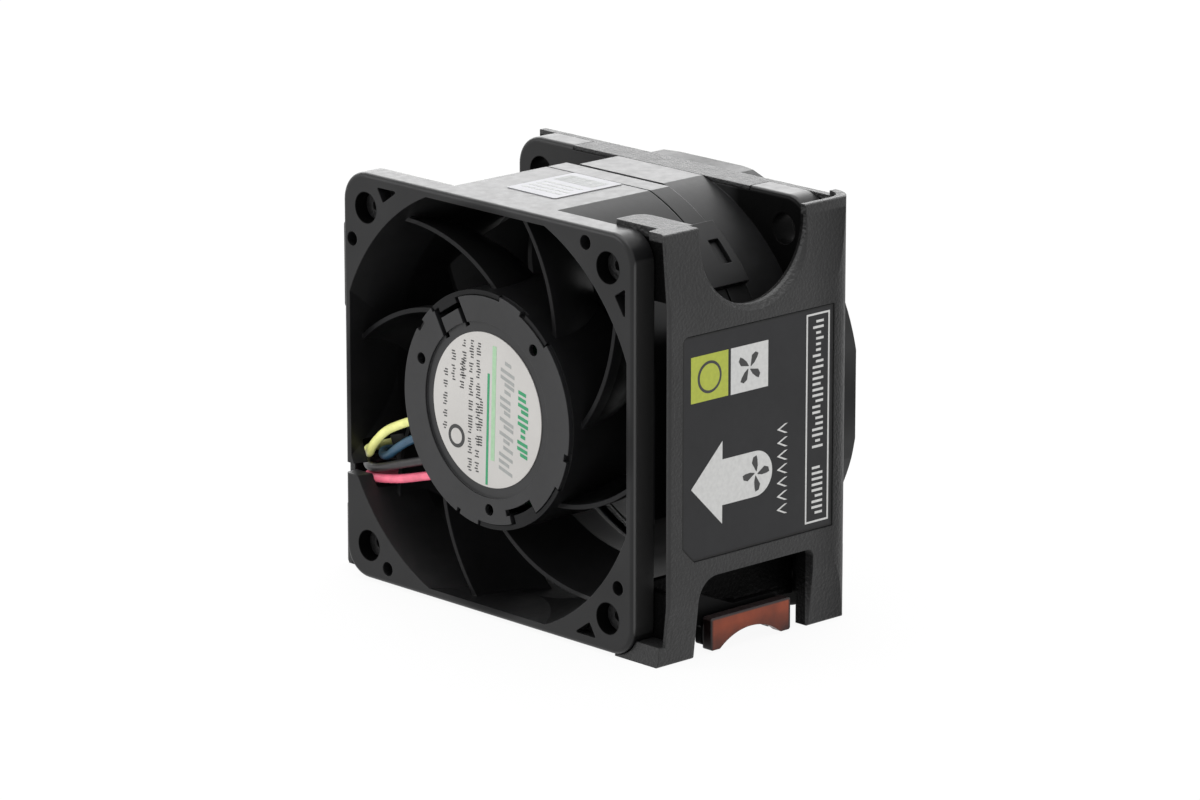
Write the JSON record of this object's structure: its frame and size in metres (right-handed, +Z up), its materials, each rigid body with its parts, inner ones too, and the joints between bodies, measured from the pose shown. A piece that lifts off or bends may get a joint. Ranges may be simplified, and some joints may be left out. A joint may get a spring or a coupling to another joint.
{
  "type": "server fan module",
  "caption": "Axial fan with stator vanes in a clip-on side carrier with a finger scallop, a flexing touch latch, an inlet grille and a blind-mate connector.",
  "frame": {"origin": "middle of the module's base: centred across the carrier's width and from the outlet face to the inlet guard's rim, at the level that the carrier stands on", "axes": "+X across the module towards the label plate, +Y from the outlet face to the inlet (against the air flow), +Z up"},
  "size_m": [0.07, 0.0444, 0.0611],
  "materials": {
    "frame_plastic": "moulded, satin, black",
    "cover_plastic": "moulded, satin, black",
    "label_film": "printed film, satin",
    "sticker_film": "printed film, satin",
    "tube_brass": "turned",
    "bearing_steel": "ground and polished",
    "cage_plastic": "moulded",
    "lamination_steel": "stacked laminations",
    "insulator_plastic": "moulded",
    "enamelled_copper": "wound enamelled wire",
    "tinned_pin": "tinned",
    "board_laminate": "solder mask",
    "component_plastic": "moulded",
    "shaft_steel": "ground",
    "clip_plastic": "moulded",
    "spring_steel": "pressed",
    "bushing_brass": "turned",
    "rotor_steel": "drawn, zinc plated",
    "magnet": "bonded ferrite",
    "impeller_plastic": "moulded, satin, black",
    "carrier_plastic": "moulded, fine texture, black",
    "guard_plastic": "moulded, satin, black",
    "touch_pad_plastic": "moulded, orange-red",
    "connector_plastic": "moulded, black",
    "contact_brass": "plated",
    "red_insulation": "extruded, satin",
    "black_insulation": "extruded, satin",
    "blue_insulation": "extruded, satin",
    "yellow_insulation": "extruded, satin"
  },
  "bodies": {
    "frame": {"outlet_housing": "frame_plastic", "inlet_housing": "frame_plastic", "hub_cover": "cover_plastic", "hub_label": "label_film", "top_sticker": "sticker_film", "bearing_tube": "tube_brass", "outlet_bearing_outer_ring": "bearing_steel", "inlet_bearing_outer_ring": "bearing_steel", "stator_core": "lamination_steel", "coil_insulator": "insulator_plastic", "stator_windings": "enamelled_copper", "terminal_pins": "tinned_pin", "circuit_board": "board_laminate", "board_components": "component_plastic", "side_carrier": "carrier_plastic", "carrier_label": "label_film", "inlet_guard": "guard_plastic", "connector_housing": "connector_plastic", "connector_contacts": "contact_brass", "red_lead": "red_insulation", "black_lead": "black_insulation", "blue_lead": "blue_insulation", "yellow_lead": "yellow_insulation"},
    "rotor": {"impeller": "impeller_plastic", "rotor_cup": "rotor_steel", "ring_magnet": "magnet", "rotor_shaft": "shaft_steel", "shaft_clip": "clip_plastic", "preload_spring": "spring_steel", "shaft_bushing": "bushing_brass", "outlet_bearing_inner_ring": "bearing_steel", "inlet_bearing_inner_ring": "bearing_steel"},
    "outlet_ball_set": {"outlet_bearing_balls": "bearing_steel", "outlet_bearing_cage": "cage_plastic"},
    "inlet_ball_set": {"inlet_bearing_balls": "bearing_steel", "inlet_bearing_cage": "cage_plastic"},
    "latch": {"latch_arm": "carrier_plastic", "touch_pad": "touch_pad_plastic"}
  },
  "joints": [
    {"name": "rotor_spin", "type": "hinge", "parent": "frame", "child": "rotor", "pos_m": [0, -0.00415, 0.03045], "axis": [0, 1, 0], "continuous": true},
    {"name": "outlet_ball_roll", "type": "hinge", "parent": "frame", "child": "outlet_ball_set", "pos_m": [0, -0.01655, 0.03045], "axis": [0, 1, 0], "continuous": true},
    {"name": "inlet_ball_roll", "type": "hinge", "parent": "frame", "child": "inlet_ball_set", "pos_m": [0, 0.00745, 0.03045], "axis": [0, 1, 0], "continuous": true},
    {"name": "latch_flex", "type": "hinge", "parent": "frame", "child": "latch", "pos_m": [0.0312, -0.0162, 0.006], "axis": [0, 0, 1], "range_deg": [0, 5], "stiffness_Nm_per_rad": 0.05}
  ],
  "couplings": [
    {"joint": "outlet_ball_roll", "follows": "rotor_spin", "ratio": 0.35505},
    {"joint": "inlet_ball_roll", "follows": "rotor_spin", "ratio": 0.35505}
  ]
}
